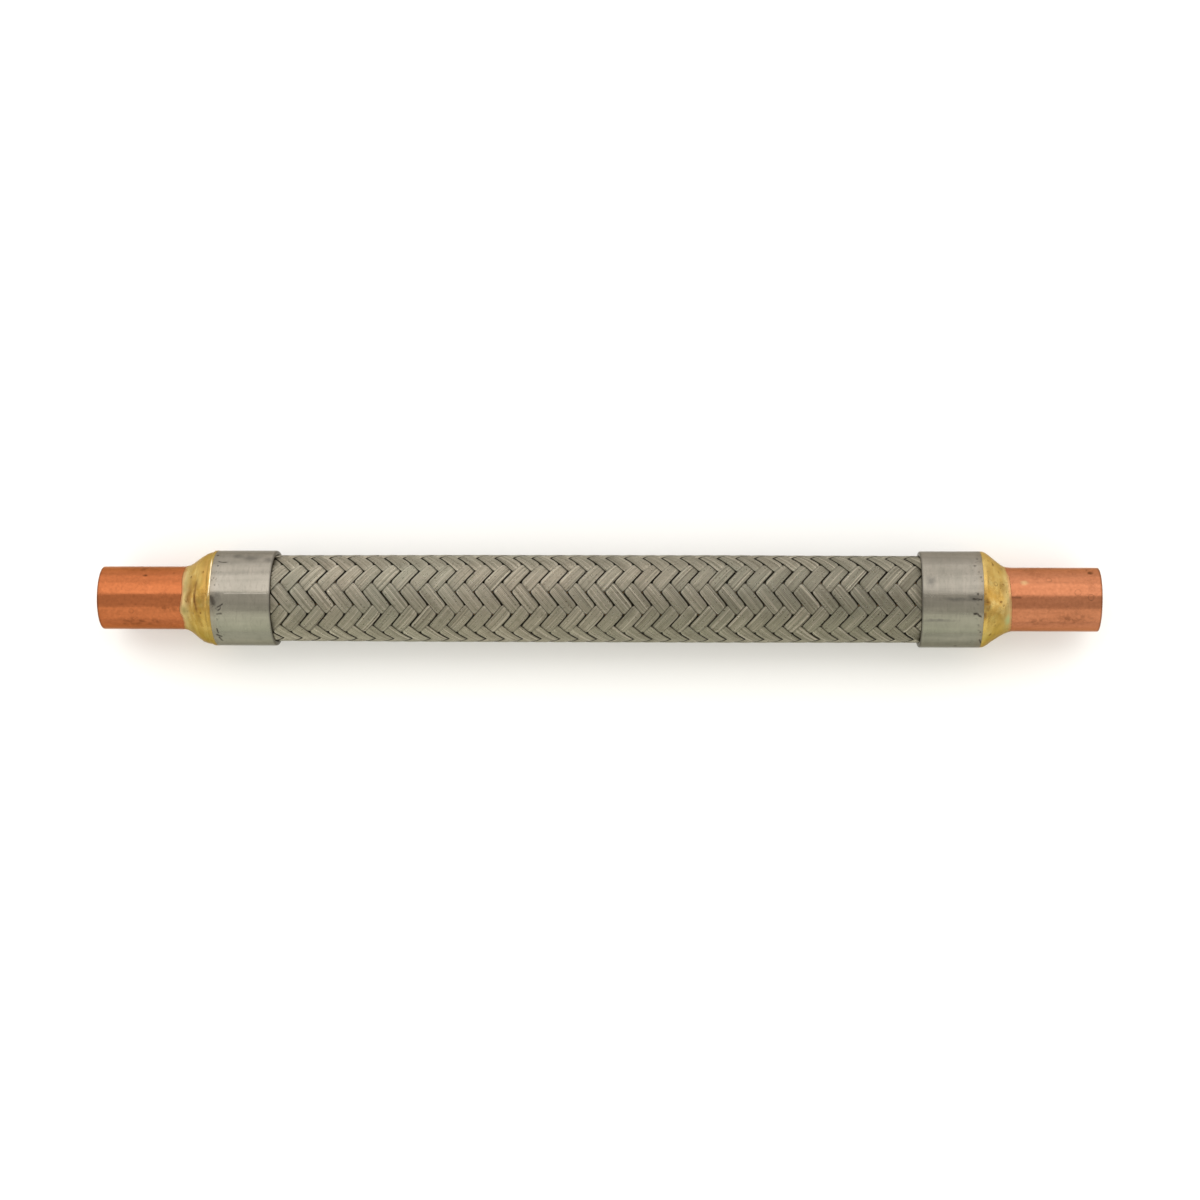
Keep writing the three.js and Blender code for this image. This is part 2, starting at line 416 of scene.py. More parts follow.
def braze_material(name, side, tree):
    m = Nodes(name, tree)
    gold, deep, pale, brown = (0.475, 0.315, 0.118), (0.385, 0.228, 0.062), (0.47, 0.375, 0.19), (0.12, 0.055, 0.016)
    broad = m.noise(170, detail=4, rough=0.6)
    fine = m.noise(700, detail=4, rough=0.62, offset=(0.2, 0.5, 0.1))
    near = m.math("MULTIPLY", m.split(m.co)[0], float(side))
    col = m.mix(m.remap(broad, 0.38, 0.58), gold, deep)
    cloudy = m.noise(420, detail=5, rough=0.65, offset=(0.7, 0.7, 0.3))
    col = m.mix(m.remap(cloudy, 0.5, 0.68, 0, 0.7), col, (0.24, 0.145, 0.045))
    col = m.mix(m.remap(cloudy, 0.47, 0.33, 0, 0.55), col, (0.56, 0.45, 0.24))
    edge = m.remap(m.math("ADD", near, m.math("MULTIPLY", m.math("SUBTRACT", fine, 0.5), 0.002)), (HALF - 22.8) * MM, (HALF - 20.6) * MM)
    col = m.mix(m.math("MULTIPLY", edge, 0.85), col, pale)
    green = m.math("MULTIPLY", m.remap(m.noise(260, detail=3, offset=(0.9, 0.2, 0.4)), 0.52, 0.68), 0.5)
    col = m.mix(green, col, (0.30, 0.255, 0.10))
    ringy = m.noise(620, stretch=(1, 0.16, 0.16), detail=3, rough=0.6, offset=(0.2, 0.9, 0.4))
    col = m.mix(m.remap(ringy, 0.52, 0.72, 0, 0.6), col, (0.56, 0.44, 0.21))
    col = m.mix(m.remap(ringy, 0.46, 0.3, 0, 0.5), col, (0.25, 0.15, 0.05))
    y = m.split(m.co)[1]
    # painted light: the upper side is painted paler and the lower side darker and greener, as the light falls on them
    col = m.mix(m.remap(y, 0.002, 0.008, 0, 0.45), col, (0.56, 0.45, 0.235))
    col = m.mix(m.remap(y, -0.001, -0.008, 0, 0.55), col, (0.34, 0.29, 0.10))
    col = m.mix(m.math("SUBTRACT", 1.0, m.math("MULTIPLY", edge, 0.6)), col, (1.0, 0.96, 0.72), "MULTIPLY")
    if side < 0:
        col = m.mix(m.remap(near, (HALF - 23.4) * MM, (HALF - 24.6) * MM), col, (0.88, 0.84, 0.76), "MULTIPLY")
    pits = m.new("ShaderNodeTexVoronoi", feature="F1")
    m.put(pits.inputs["Vector"], m.vmath("ADD", m.co, (0.013, 0.021, 0.005)))
    pits.inputs["Scale"].default_value = 620
    pit = m.math("MULTIPLY", m.remap(pits.outputs["Distance"], 0.28, 0.12), m.remap(fine, 0.56, 0.66) if side < 0 else m.remap(fine, 0.5, 0.62))
    col = m.mix(m.math("MULTIPLY", pit, 0.8), col, brown)
    if side < 0:
        # painted shade along the crease: a dark line (crease) and a wider dark band (shade)
        crease = m.hoop([(196, 583.5), (194.8, 590), (194.5, 597), (194.9, 603.5), (196, 609)], 9.1, 0.06, 0.3, 0.4)
        shade = m.hoop([(196, 585), (194.8, 590), (194.5, 597), (194.9, 603.5), (196, 608)], 9.1, 0.1, 0.7, 0.5, 1.6)
        col = m.mix(m.math("MULTIPLY", shade, 0.6), col, (0.27, 0.15, 0.045))
        # the crease line in this list is painted shade; the rest are stains
        stains = [
            m.math("MULTIPLY", crease, 0.85), m.stroke(194.3, 594, 194.4, 602, 9.1, 0.14, 0.3, 0.3), m.math("MULTIPLY", m.stroke(198.8, 616, 202, 626, 9.6, 0.02, 0.45, 0.25), 0.4),
            m.stroke(184.6, 599.5, 186.2, 602, 8.2, 0.02, 0.15, 0.2), m.stroke(186.2, 602, 187.6, 599, 8.2, 0.02, 0.15, 0.2), m.spot(207, 641, 10.4, 0.05, 0.3, wobble=0.4), m.spot(200.5, 613, 9.6, 0.05, 0.25, wobble=0.4),
        ]
        olive = m.spot(184.4, 611, 7.9, 0.3, 0.9, (0.8, 1.2, 1), wobble=0.6)
        col = m.mix(m.math("MULTIPLY", olive, 0.5), col, (0.23, 0.19, 0.055))
        # painted highlight along the ridge, and painted shade in the deeper gold beside it
        col = m.mix(m.math("MULTIPLY", m.hoop([(206.5, 562), (205.5, 575), (204.6, 590), (204.2, 602)], 10.6, 0.25, 0.6, 0.6, 2.0), 0.55), col, (0.33, 0.19, 0.05))
        ridge_painted_highlight = m.hoop([(211.4, 562.5), (210.2, 575), (209, 585), (208.3, 593)], 10.9, 0.035, 0.13, 0.12)
        col = m.mix(m.math("MULTIPLY", ridge_painted_highlight, 0.85), col, (0.86, 0.75, 0.54))
    else:
        stains = [
            m.math("MULTIPLY", m.trace([(985.2, 601.5), (988, 599.8), (990.6, 604), (988.4, 610.2), (985.6, 610)], 10.2, 0.03, 0.3, 0.7, 8.0), 0.65), m.math("MULTIPLY", m.spot(987.6, 605.5, 10.2, 0.6, 1.1, (0.8, 1.2, 1), wobble=1.2), 0.55),
            m.spot(985.8, 594, 10.4, 0.12, 0.2), m.ring(1003.8, 605.8, 8.2, 0.2, 0.14), m.math("MULTIPLY", m.ring(995.8, 584, 9.4, 0.5, 0.14), 0.8), m.spot(990, 634.6, 10.2, 0.15, 0.4, wobble=0.5),
            m.trace([(992, 562.8), (993.6, 565)], 10.0, 0.06, 0.2, 0.2), m.spot(985, 616, 10.5, 0.2, 1.0, (0.7, 1.6, 1), wobble=0.9),
        ]
        mint = m.spot(1008.5, 620, 7.9, 0.5, 1.0, (0.8, 1.3, 1), wobble=0.9)
        col = m.mix(m.math("MULTIPLY", mint, 0.7), col, (0.28, 0.34, 0.16))
    col = m.mix(m.math("MULTIPLY", m.most(stains), m.remap(fine, 0.3, 0.6, 0.4, 0.92)), col, brown)
    # the thinnest part of the edge lets the copper's colour through
    r = m.vmath("LENGTH", m.join(0.0, *m.split(m.co)[1:]))
    thin = m.remap(m.math("ADD", r, m.math("MULTIPLY", m.math("SUBTRACT", fine, 0.5), 0.0004)), 7.6 * MM, 7.36 * MM)
    col = m.mix(m.math("MULTIPLY", thin, 0.75), col, (0.37, 0.15, 0.065))
    # flux residue where it meets the ferrule
    rim = m.remap(near, (HALF - 26.2) * MM, (HALF - 26.8) * MM)
    col = m.mix(m.math("MULTIPLY", rim, m.remap(fine, 0.4, 0.62, 0.0, 0.4)), col, (0.24, 0.18, 0.08))
    rough = m.math("ADD", m.remap(broad, 0.3, 0.7, 0.22, 0.34), m.remap(fine, 0.5, 0.8, 0.0, 0.2))
    n = m.bump(broad, 0.55, 0.00028)
    n = m.bump(fine, 0.55, 0.0001, n)
    n = m.bump(m.math("SUBTRACT", 1.0, pit), 0.6, 0.0002, n)
    return m.finish(col, rough, 0.95, n, (0.7, 0.58, 0.4))


def ferrule_material(name, side, tree):
    m = Nodes(name, tree)
    near = m.math("MULTIPLY", m.split(m.co)[0], float(side))
    turn = m.noise(430, stretch=(1, 0.12, 0.12), detail=4, rough=0.65)  # round the part
    along = m.noise(330, stretch=(0.06, 1, 1), detail=4, rough=0.62, offset=(0.4, 0.2, 0.6))  # along it
    grain = m.noise(2400, stretch=(0.25, 1, 1), detail=3, rough=0.6)
    grain2 = m.noise(1900, stretch=(1, 0.3, 0.3), detail=3, rough=0.6, offset=(0.3, 0.3, 0.8))
    cloud = m.noise(110, detail=4, rough=0.6, offset=(0.7, 0.3, 0.2))
    k = 0.94 if side < 0 else 0.86
    col = m.mix(m.remap(cloud, 0.35, 0.68), dim((0.30, 0.272, 0.232), k), dim((0.245, 0.226, 0.19), k))
    col = m.mix(m.remap(along, 0.4, 0.7, 0, 0.6), col, dim((0.175, 0.163, 0.138), k))
    col = m.mix(m.remap(turn, 0.5, 0.78, 0, 0.45), col, dim((0.34, 0.30, 0.255), k))
    col = m.mix(m.remap(grain2, 0.5, 0.75, 0, 0.4), col, dim((0.17, 0.155, 0.13), k))
    # painted light: the lower side is tinted green, the tint of the fill light it reflects
    col = m.mix(m.remap(m.split(m.co)[1], 0.002, -0.007), col, (0.93, 1.0, 0.91), "MULTIPLY")
    soot = m.noise(520, detail=5, rough=0.68, offset=(0.15, 0.85, 0.35))
    R = 11.0
    if side < 0:
        marks = [
            m.spot(217.9, 555.4, R, 0.16, 0.26, wobble=0.4), m.trace([(219, 561.7), (222.5, 562.4), (226.8, 562.2)], R, 0.05, 0.17, 0.25), m.spot(218, 565.8, R, 0.04, 0.22, wobble=0.3),
            m.math("MULTIPLY", m.stroke(211.4, 597.4, 213.4, 603.2, R, 0.2, 0.6, 0.7), 0.75), m.trace([(217.2, 607.2), (219.8, 605.8), (222.4, 604)], R, 0.05, 0.17, 0.25), m.trace([(220.4, 605.5), (220.2, 608.5), (218, 610.4)], R, 0.02, 0.16, 0.25),
            m.math("MULTIPLY", m.trace([(217, 614), (221, 613.6)], R, 0.1, 0.24, 0.4), 0.8), m.trace([(216.8, 628.6), (218.4, 633)], R, 0.05, 0.18, 0.25), m.trace([(216.8, 634.6), (221.8, 636.4)], R, 0.08, 0.2, 0.35),
            m.trace([(219.4, 637), (222.6, 640.6)], R, 0.1, 0.22, 0.35), m.spot(214.5, 585, R, 0.02, 0.22, wobble=0.3), m.spot(213.5, 578, R, 0.02, 0.2, wobble=0.3),
        ]
        # a fine painted highlight along it, a lamp's reflected edge
        line = m.stroke(224, 593.4, 266, 593.2, R, 0.02, 0.13, 0.08)
        col = m.mix(m.math("MULTIPLY", line, 0.45), col, (0.55, 0.52, 0.46))
        smudges = [(252, 558, 1.7, (1.5, 1, 1)), (268, 560, 1.1, (1, 1, 1)), (238, 556, 1.1, (1.2, 1, 1)), (216, 598, 1.0, (1, 1.6, 1))]
    else:
        marks = [
            m.stroke(974.5, 614, 977.5, 613.8, R, 0.12, 0.22), m.stroke(977.5, 614, 980.5, 616.5, R, 0.08, 0.24), m.stroke(974, 599, 981.5, 599.5, R, 0.02, 0.3, 0.8), m.spot(978, 594, R, 0.02, 0.28, wobble=0.5),
            m.spot(977, 559, R, 0.06, 0.35, wobble=0.6), m.spot(975, 566, R, 0.05, 0.3, wobble=0.5), m.spot(979, 572, R, 0.03, 0.3, wobble=0.5), m.spot(980.5, 632, R, 0.05, 0.3, wobble=0.5), m.spot(955, 646, R, 0.2, 0.3, wobble=0.5),
            m.spot(981, 577, R, 0.04, 0.3, wobble=0.5), m.stroke(979.5, 640, 981, 643, R, 0.02, 0.3),
        ]
        smudges = [(931, 581, 1.4, (0.9, 1.2, 1)), (958, 599.5, 0.8, (6.0, 0.6, 1)), (935, 620.5, 0.7, (7.0, 0.6, 1)), (975, 598, 1.0, (2.0, 0.9, 1))]
    marks = m.math("MULTIPLY", m.most(marks), m.remap(soot, 0.34, 0.48, 0.5, 0.97))
    for xp, yp, rad, shape in smudges:
        s = m.spot(xp, yp, R, rad * 0.25, rad, shape, wobble=0.9)
        col = m.mix(m.math("MULTIPLY", s, m.remap(soot, 0.35, 0.6, 0.25, 0.7)), col, (0.095, 0.09, 0.08))
    # heat line next to the braze, and painted shade under the lip over the braid
    heat = m.remap(m.math("ADD", near, m.math("MULTIPLY", m.math("SUBTRACT", soot, 0.5), 0.003)), (HALF - 28.4) * MM, (HALF - 26.9) * MM)
    col = m.mix(m.math("MULTIPLY", heat, 0.4), col, (0.19, 0.155, 0.11))
    specks = m.math("MULTIPLY", m.remap(m.noise(1100, detail=4, rough=0.7, offset=(0.8, 0.1, 0.5)), 0.6, 0.66), m.remap(near, (HALF - 30.5) * MM, (HALF - 27.2) * MM, 0.0, 0.9))
    col = m.mix(m.math("MAXIMUM", marks, m.math("MULTIPLY", specks, 0.8)), col, (0.035, 0.029, 0.024))
    lip_painted_shade = m.remap(near, (HALF - 40.2) * MM, (HALF - 40.55) * MM)
    col = m.mix(m.math("MULTIPLY", lip_painted_shade, 0.6), col, (0.07, 0.064, 0.055))
    rough = m.math("ADD", m.remap(along, 0.3, 0.75, 0.16, 0.25), m.remap(soot, 0.5, 0.8, 0, 0.12))
    n = m.bump(along, 0.26, 0.00012)
    n = m.bump(turn, 0.14, 0.00008, n)
    n = m.bump(grain, 0.35, 0.000025, n)
    return m.finish(col, rough, 1.0, n, (0.6, 0.58, 0.54))


def braid_material(name):
    m = Nodes(name)
    x, y, z = m.split(m.co)
    tone = m.new("ShaderNodeAttribute", attribute_type="GEOMETRY", attribute_name="tone").outputs["Fac"]
    cloud = m.noise(55, detail=4, rough=0.6)
    fleck = m.noise(900, detail=3, rough=0.6, offset=(0.5, 0.1, 0.9))
    down = m.new("ShaderNodeAttribute", attribute_type="GEOMETRY", attribute_name="down").outputs["Fac"]
    warm, cool = (0.35, 0.31, 0.245), (0.30, 0.285, 0.225)
    col = m.mix(m.remap(cloud, 0.36, 0.66), warm, cool)
    # the right half is a little duller
    col = m.mix(m.remap(x, -0.03, 0.07, 0.0, 0.72), col, (0.2, 0.188, 0.145))
    # and the lower side painted darker and a little greener, as painted shade
    col = m.mix(m.remap(y, 0.001, -0.008, 0.0, 0.5), col, (0.26, 0.25, 0.172))
    col = m.mix(m.remap(tone, 0.42, 0.0, 0.0, 0.45), col, (0.12, 0.105, 0.075))
    col = m.mix(m.remap(tone, 0.6, 1.0, 0.0, 0.55), col, (0.52, 0.47, 0.38))
    col = m.mix(m.remap(fleck, 0.55, 0.75, 0, 0.45), col, (0.12, 0.1, 0.065))
    k = m.remap(x, -0.06, 0.08, 1.04, 1.02)
    col = m.mix(1.0, col, m.join(k, k, k), "MULTIPLY")
    # painted shade in the grooves between the wires, and painted black shade in the gaps
    col = m.mix(m.remap(down, 0.1, 0.42, 0.0, 0.6), col, (0.05, 0.045, 0.034))
    col = m.mix(m.remap(down, 0.45, 0.85, 0.0, 0.93), col, (0.012, 0.010, 0.007))
    # painted shade: wire surfaces below the top layer are painted nearly black, and rougher
    r = m.vmath("LENGTH", m.join(0.0, y, z))
    r = m.math("SUBTRACT", r, m.remap(m.math("ABSOLUTE", x), (BRAID_REACH - 7) * MM, (BRAID_REACH - 52) * MM, 0.0, 0.13 * MM))
    deep = m.remap(r, (OVER_R - 0.0) * MM, (OVER_R - 0.13) * MM)
    col = m.mix(m.math("MULTIPLY", deep, 0.95), col, (0.010, 0.008, 0.006))
    rough = m.math("ADD", m.remap(fleck, 0.3, 0.7, 0.25, 0.36), m.math("MULTIPLY", deep, 0.35))
    return m.finish(col, rough, 1.0, None, (0.78, 0.78, 0.73))


def hose_material(name):
    m = Nodes(name)
    cloud = m.noise(150, detail=5, rough=0.6)
    spark = m.noise(1400, detail=2)
    col = m.mix(m.remap(cloud, 0.35, 0.65), (0.17, 0.105, 0.045), (0.06, 0.04, 0.02))
    # painted shade: the outside, seen through the braid's gaps, is painted nearly black
    r = m.vmath("LENGTH", m.join(0.0, *m.split(m.co)[1:]))
    crest_painted_shade = m.remap(r, 6.9 * MM, 7.7 * MM)
    col = m.mix(crest_painted_shade, col, (0.012, 0.009, 0.006))
    n = m.bump(spark, 0.3, 0.00003)
    return m.finish(col, m.math("ADD", m.remap(cloud, 0.3, 0.7, 0.34, 0.5), m.math("MULTIPLY", crest_painted_shade, 0.4)), 0.9, n)


def floor_material(name):
    m = Nodes(name)
    cloud = m.noise(3.0, detail=3)
    col = m.mix(cloud, (0.86, 0.86, 0.86), (0.9, 0.9, 0.9))
    return m.finish(col, m.remap(cloud, 0.3, 0.7, 0.75, 0.85), 0.0)


# ---------------------------------------------------------------- turned pieces


def copper_end(tag, side):
    X = lambda s: side * (HALF - s)
    loop = rounded_loop(
        [
            (X(0.0), 6.425, 0.14), (X(0.0), 7.3, 0.2), (X(19.7), 7.3, 4.0), (X(26.0), 8.05, 3.0),
            (X(31.0), 8.05, 0.2), (X(31.0), 7.3, 0.2), (X(26.0), 7.3, 2.0), (X(20.2), 6.425, 1.5),
        ]
    )
    oval = wander(11 if side < 0 else 12, 0.12, 3)
    dent = wander(21 if side < 0 else 22, 0.5, 6)

    def warp(x, r, phi):
        s = HALF - side * x
        cut = 0.05 * np.cos(phi + (0.7 if side < 0 else 2.4)) * smooth(1 - s / 3)
        keep = smooth((s + 0.5) / 2)
        r = r - 0.03 + 0.022 * oval(x, phi) + 0.006 * dent(x, phi) * keep
        return x - side * np.abs(cut), r

    ob = lathe(f"copper_end_{tag}_skin", loop, 160, warp)
    part_of(ob, f"copper_end_{tag}", copper_material(f"copper_{tag}", side, surface_of(ob)))


def braze_fillet(tag, side):
    X = lambda s: side * (HALF - s)
    if side < 0:
        prof = [(19.5, 7.36), (19.8, 7.43), (20.2, 7.62), (20.8, 8.0), (21.5, 8.62), (22.4, 9.46), (23.4, 10.16), (24.2, 10.46), (25.0, 10.7), (25.8, 10.86), (26.4, 10.95), (26.895, 10.985)]
    else:
        prof = [(20.3, 7.36), (20.7, 7.43), (21.1, 7.6), (21.7, 7.88), (22.5, 8.42), (23.4, 9.04), (24.3, 9.7), (25.2, 10.34), (25.7, 10.68), (26.15, 10.92), (26.895, 10.985)]
    s_, r_ = np.array(prof).T
    fine_s = np.linspace(s_[0], s_[-1], 48)
    # a smooth curve through the measured outline
    fine_r = np.interp(fine_s, s_, r_)
    for _ in range(3):
        fine_r[1:-1] = (fine_r[:-2] + 2 * fine_r[1:-1] + fine_r[2:]) / 4
    outer = [(X(a), b) for a, b in zip(fine_s, fine_r)]
    back = [(X(26.895), 10.6), (X(26.895), 9.9), (X(27.5), 9.9), (X(29.0), 9.9), (X(29.0), 8.6), (X(29.0), 8.08), (X(26.0), 8.08), (X(23.0), 7.72), (X(s_[0] + 0.6), 7.34), (X(s_[0] + 0.2), 7.33)]
    loop = np.array(outer + back)
    lumps = wander(31 if side < 0 else 32, 1.3, 9, 14)
    small = wander(33 if side < 0 else 34, 3.2, 26, 18)
    scallop = wander(35 if side < 0 else 36, 0.01, 7 if side < 0 else 4, 8)

    def warp(x, r, phi):
        s = HALF - side * x
        t = np.clip((s - s_[0]) / (26.6 - s_[0]), 0, 1)
        skin = (r > 7.34 + 0.6 * t) & (s < 26.9)
        middle = np.sin(np.pi * np.clip(t, 0, 1)) ** 0.7
        ds = (0.13 if side < 0 else 0.15) * scallop(0, phi) * smooth(1 - t / 0.45)
        if side > 0:
            ds = ds - 0.38 * np.sin(phi) * smooth(1 - t / 0.8)
        else:
            ds = ds + (0.75 * np.clip(-np.sin(phi), 0, 1) + 0.25 * np.clip(np.sin(phi), 0, 1)) * 4 * t * (1 - t)
            ds = ds - 0.3 * np.exp(-(((phi - 0.47) / 0.2) ** 2)) * smooth(1 - t / 0.4)
        if side < 0:
            # the bright ridge beside the ferrule and the crease below it
            ridge = 0.13 * np.exp(-(((s - 26.3 - 0.1 * scallop(0, phi)) / 0.28) ** 2)) - 0.1 * np.exp(-(((s - 25.5 - 0.15 * scallop(0, phi)) / 0.45) ** 2))
            crease = -0.13 * np.exp(-(((s - 22.95 - 0.2 * scallop(0, phi + 1)) / 0.22) ** 2)) * (0.45 + 0.55 * np.cos(phi - 0.1))
            dr = (0.06 * lumps(x, phi) + 0.03 * small(x, phi)) * middle + ridge + crease
        else:
            dr = (0.07 * lumps(x, phi) + 0.022 * small(x, phi)) * middle
        rr = np.where(skin, np.maximum(r + dr, 7.34 + 0.1 * t), r)
        rr = np.minimum(rr, 10.985)
        return np.where(skin | (s < s_[0] + 1), x - side * ds, x), rr

    ob = lathe(f"braze_fillet_{tag}_skin", loop, 224, warp)
    part_of(ob, f"braze_fillet_{tag}", braze_material(f"braze_{tag}", side, surface_of(ob)))


def ferrule(tag, side):
    X = lambda s: side * (HALF - s)
    loop = rounded_loop(
        [(X(26.9), 9.95, 0.1), (X(26.9), 10.99, 0.04), (X(40.7), 10.99, 0.8), (X(40.7), 9.95, 0.3)], step=0.7, arcs=7
    )
    oval = wander(41 if side < 0 else 42, 0.1, 3)
    press = wander(43 if side < 0 else 44, 0.35, 7)

    def warp(x, r, phi):
        s = HALF - side * x
        d = 0.022 * oval(x, phi) + 0.012 * press(x, phi)
        return x + 0.08 * oval(0, phi) * smooth((s - 38) / 2), np.minimum(r + d - 0.02, 10.995)

    ob = lathe(f"ferrule_{tag}_skin", loop, 192, warp)
    part_of(ob, f"ferrule_{tag}", ferrule_material(f"ferrule_{tag}", side, surface_of(ob)))


def hose():
    turns, wall = 40, 0.25
    start, end = -HALF + 31.3, HALF - 31.3
    pitch = (end - start) / turns
    t = np.linspace(0, 1, 11)[:-1]
    wave = lambda u: 1 - smooth(np.clip((np.abs(((u + 0.5) % 1) - 0.5) - 0.11) / 0.26, 0, 1)) * 2
    xs, rs = [], []
    for k in range(turns):
        for u in t:
            xs.append(start + (k + u) * pitch)
            rs.append(7.6 + 1.0 * wave(u))
    xs.append(end)
    rs.append(8.6)
    xs, rs = np.array(xs), np.array(rs)
    outer = [(-HALF + 29.2, 8.52), (start - 0.5, 8.52)] + list(zip(xs, rs)) + [(end + 0.5, 8.52), (HALF - 29.2, 8.52)]
    inner = [(x, r - wall) for x, r in outer][::-1]
    ob = lathe("corrugated_hose_skin", np.array(outer + inner), 40)
    part_of(ob, "corrugated_hose", hose_material("hose"))


# ---------------------------------------------------------------- the braid

def strand_wires(index, turn, seed):
    g = np.random.default_rng(seed)
    first = (-BRAID_REACH - SHIFT) / (P / 2) + 0.5
    last = (BRAID_REACH - SHIFT) / (P / 2) - 0.5

    def lift(m):
        four = (2 * index + m if turn > 0 else 2 * index - m) % 4
        return four <= 1 if turn > 0 else four >= 2

    stations = []
    flips = []
    for m in range(math.floor(first) - 1, math.ceil(last) + 2):
        if lift(m) != lift(m - 1):
            flips.append((m - 0.5, 1 if lift(m) else -1))
            stations += [m - 0.5 + d for d in (-0.2, -0.1, -0.035, 0.035, 0.1, 0.2)]
        else:
            stations += [m - 0.5]
        stations += [m] if lift(m) == lift(m - 1) else []
    stations = np.array(sorted(a for a in stations if first <= a <= last))
    stations = np.concatenate([[first], stations[(stations > first + 0.05) & (stations < last - 0.05)], [last]])
    a = stations[:, None]
    # height and squeeze along the strand
    level = np.full(a.shape, 1.0 if lift(math.floor(first) - 2) else -1.0)
    squeeze = np.zeros(a.shape)
    for b, way in flips:
        level = level + 2 * way * smooth((a - b) / 0.36 + 0.5)
        squeeze = np.maximum(squeeze, 0.1 * np.exp(-(((a - b) / 0.115) ** 2)) + 0.06 * np.exp(-(((a - b) / 0.05) ** 2)))
    v = (np.arange(WIRES) - (WIRES - 1) / 2) / WIRES * FILL
    v = v + g.normal(0, 0.004, WIRES)
    drift = sum(g.normal(0, 0.006) * np.sin(a * g.uniform(0.15, 0.5) + g.uniform(0, 6.3) + 0 * v) for _ in range(3))
    own = g.normal(0, 1, WIRES)[None]
    sway = 0.0035 * own * np.sin(a * 0.9 + g.uniform(0, 6.3, WIRES)[None])
    vv = (v[None] * (1 - squeeze)) + drift + sway
    # the strand is a little crowned across, so its edge wires sit lower
    crown = -0.05 * (2 * v[None]) ** 4
    r = (OVER_R + UNDER_R) / 2 + level * (OVER_R - UNDER_R) / 2 + crown * (level > 0) + g.normal(0, 0.006, WIRES)[None]
    r = r - 0.012 + 0.01 * np.sin(a * 1.7 + g.uniform(0, 6.3, WIRES)[None])
    r = np.minimum(r, OVER_R + 0.01)
    # it swells a little between the ferrules
    r = r + 0.13 * np.clip((BRAID_REACH - 7 - np.abs(SHIFT + a * P / 2)) / 45, 0, 1)
    aa = a + 0 * vv
    x = SHIFT + (aa - turn * vv) * P / 2
    phi = (2 * index + turn * aa + vv - 0.5) * math.pi / S
    centre = np.stack([x, -r * np.sin(phi), r * np.cos(phi)], -1)  # station, wire, xyz
    tangent = np.gradient(centre, axis=0)
    tangent /= np.linalg.norm(tangent, axis=-1, keepdims=True)
    radial = np.stack([0 * phi, -np.sin(phi), np.cos(phi)], -1)
    aside = np.cross(tangent, radial)
    aside /= np.linalg.norm(aside, axis=-1, keepdims=True)
    up = np.cross(aside, tangent)
    k = len(stations)
    # clockwise along the strand, so that the faces point outward
    ring = math.pi / 2 - np.arange(SIDES) * 2 * math.pi / SIDES
    rad = WIRE_R / math.cos(math.pi / SIDES) * 0.9
    verts = centre[:, :, None] + rad * (np.cos(ring)[None, None, :, None] * aside[:, :, None] + np.sin(ring)[None, None, :, None] * up[:, :, None])
    verts = verts.transpose(1, 0, 2, 3)  # wire, station, side
    idx = np.arange(WIRES * k * SIDES).reshape(WIRES, k, SIDES)
    nxt = np.roll(idx, -1, 2)
    quads = np.stack([idx[:, :-1], nxt[:, :-1], nxt[:, 1:], idx[:, 1:]], -1).reshape(-1, 4)
    faces = [tuple(q) for q in quads.tolist()]
    for w in range(WIRES):
        faces.append(tuple(int(c) for c in idx[w, 0][::-1]))
        faces.append(tuple(int(c) for c in idx[w, -1]))
    # one tone for each wire, changing slowly along it
    base = g.beta(2.2, 2.2, WIRES)[:, None]
    tone = np.clip(base + 0.25 * np.sin(stations[None] * 0.6 + g.uniform(0, 6.3, WIRES)[:, None]), 0, 1)
    tone = np.repeat(tone[:, :, None], SIDES, 2).ravel()
    # how far down each wire's side a point is, and how far out on the strand
    down = 0.5 - 0.5 * np.sin(ring)[None, None] + 0 * verts[..., 0]
    for w, other in ((0, 1), (WIRES - 1, WIRES - 2)):
        out = centre[:, w] - centre[:, other]
        out /= np.linalg.norm(out, axis=-1, keepdims=True)
        far = np.einsum("ksc,kc->ks", verts[w] - centre[:, w][:, None], out) / rad
        down[w] = np.where(far > 0.6, 1.0, down[w])
    # a picture map with each wire folded into rows
    folds = 5
    per = math.ceil((k - 1) / folds)
    w_, s_, c_ = np.meshgrid(np.arange(WIRES), np.arange(k - 1), np.arange(SIDES), indexing="ij")
    row = w_ * folds + s_ // per
    u0 = (s_ % per) / per
    u1 = u0 + 1 / per
    rows = WIRES * folds
    v0 = (row + 0.08 + 0.84 * c_ / SIDES) / rows
    v1 = (row + 0.08 + 0.84 * (c_ + 1) / SIDES) / rows
    uv = np.stack([np.stack([u0, v0], -1), np.stack([u0, v1], -1), np.stack([u1, v1], -1), np.stack([u1, v0], -1)], -2).reshape(-1, 2)
    caps = np.tile([[0.001, 0.001]], (2 * WIRES * SIDES, 1)) + np.tile(np.stack([np.cos(ring), np.sin(ring)], -1) * 0.0008, (2 * WIRES, 1))
    return verts.reshape(-1, 3), faces, tone, down.ravel(), np.concatenate([uv, caps])


def braid():
    mat = braid_material("braid_wire")
    for index in range(S):
        for turn, tag in ((1, "r"), (-1, "l")):
            node = f"braid_strand_{tag}{index + 1:02d}"
            verts, faces, tone, down, uv = strand_wires(index, turn, 1000 + index * 2 + (turn > 0))
            ob = add_mesh(f"{node}_wires", verts, faces)
            me = ob.data
            for key, values in (("tone", tone), ("down", down)):
                attr = me.attributes.new(key, "FLOAT", "POINT")
                attr.data.foreach_set("value", values.astype(np.float32))
            layer = me.uv_layers.new(name="OFBake", do_init=False)
            layer.uv.foreach_set("vector", uv.astype(np.float32).ravel())
            part_of(ob, node, mat)


